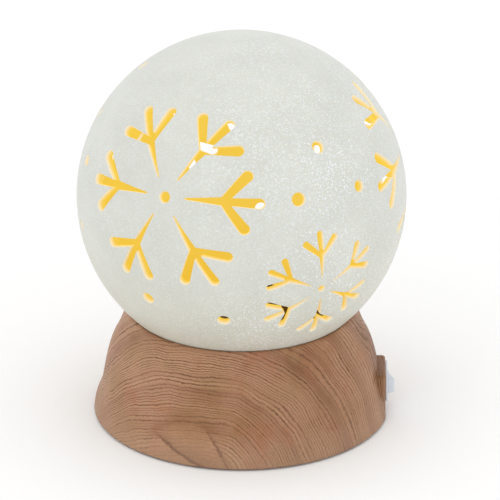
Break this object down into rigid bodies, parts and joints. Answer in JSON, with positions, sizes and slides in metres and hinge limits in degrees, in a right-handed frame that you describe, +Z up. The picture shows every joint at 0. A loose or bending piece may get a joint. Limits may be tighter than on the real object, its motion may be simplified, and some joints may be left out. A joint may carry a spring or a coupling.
{
  "type": "globe night light",
  "caption": "Hollow ceramic globe with cut-out snowflakes, lit from inside, standing in a dished wood-look base with a rocker switch on its side.",
  "frame": {"origin": "on the table, under the middle of the globe", "axes": "+Z up, -Y towards the front, +X towards the switch"},
  "size_m": [0.1199, 0.12, 0.1457],
  "materials": {
    "ceramic": "opaque white ceramic, satin glaze with fine glitter",
    "wood_print": "satin, printed brown wood grain",
    "white_plastic": "semi-gloss white moulded plastic",
    "brown_plastic": "matte dark brown moulded plastic",
    "black_plastic": "fine-textured black moulded plastic",
    "board": "white solder-mask circuit board",
    "led": "clear resin over yellow phosphor",
    "lens": "frosted diffusing plastic, lit warm",
    "rubber": "matte dark grey rubber",
    "silicone": "soft translucent silicone",
    "cell_jacket": "plain green printed cell jacket",
    "steel": "nickel-plated steel",
    "red_lead": "red PVC insulation",
    "black_lead": "black PVC insulation"
  },
  "bodies": {
    "base": {"base_shell": "wood_print", "globe_gasket": "silicone", "light_deck": "brown_plastic", "led_board": "board", "led_chip_1": "led", "led_chip_2": "led", "led_chip_3": "led", "led_lens": "lens", "deck_screw_1": "steel", "deck_screw_2": "steel", "deck_screw_3": "steel", "bottom_cover": "brown_plastic", "cover_screw_1": "steel", "cover_screw_2": "steel", "cover_screw_3": "steel", "cover_screw_4": "steel", "rubber_foot_1": "rubber", "rubber_foot_2": "rubber", "rubber_foot_3": "rubber", "rubber_foot_4": "rubber", "battery_holder": "black_plastic", "battery_1": "cell_jacket", "battery_2": "cell_jacket", "battery_3": "cell_jacket", "spring_contact_1": "steel", "spring_contact_2": "steel", "spring_contact_3": "steel", "plate_contact_1": "steel", "plate_contact_2": "steel", "plate_contact_3": "steel", "switch_body": "white_plastic", "switch_terminal_1": "steel", "switch_terminal_2": "steel", "lead_battery_switch": "red_lead", "lead_switch_led": "red_lead", "lead_battery_led": "black_lead"},
    "globe": {"globe_shade": "ceramic"},
    "rocker": {"switch_rocker": "white_plastic"},
    "door": {"battery_door": "brown_plastic"}
  },
  "joints": [
    {"name": "globe_lift", "type": "slide", "parent": "base", "child": "globe", "axis": [0, 0, 1], "range_m": [0, 0.06]},
    {"name": "rocker_tilt", "type": "hinge", "parent": "base", "child": "rocker", "pos_m": [0.0516, 0, 0.0108], "axis": [0, 0, 1], "range_deg": [-28.8, 0]},
    {"name": "door_hinge", "type": "hinge", "parent": "base", "child": "door", "pos_m": [0, 0.0281, 0.002], "axis": [1, 0, 0], "range_deg": [0, 90]}
  ]
}
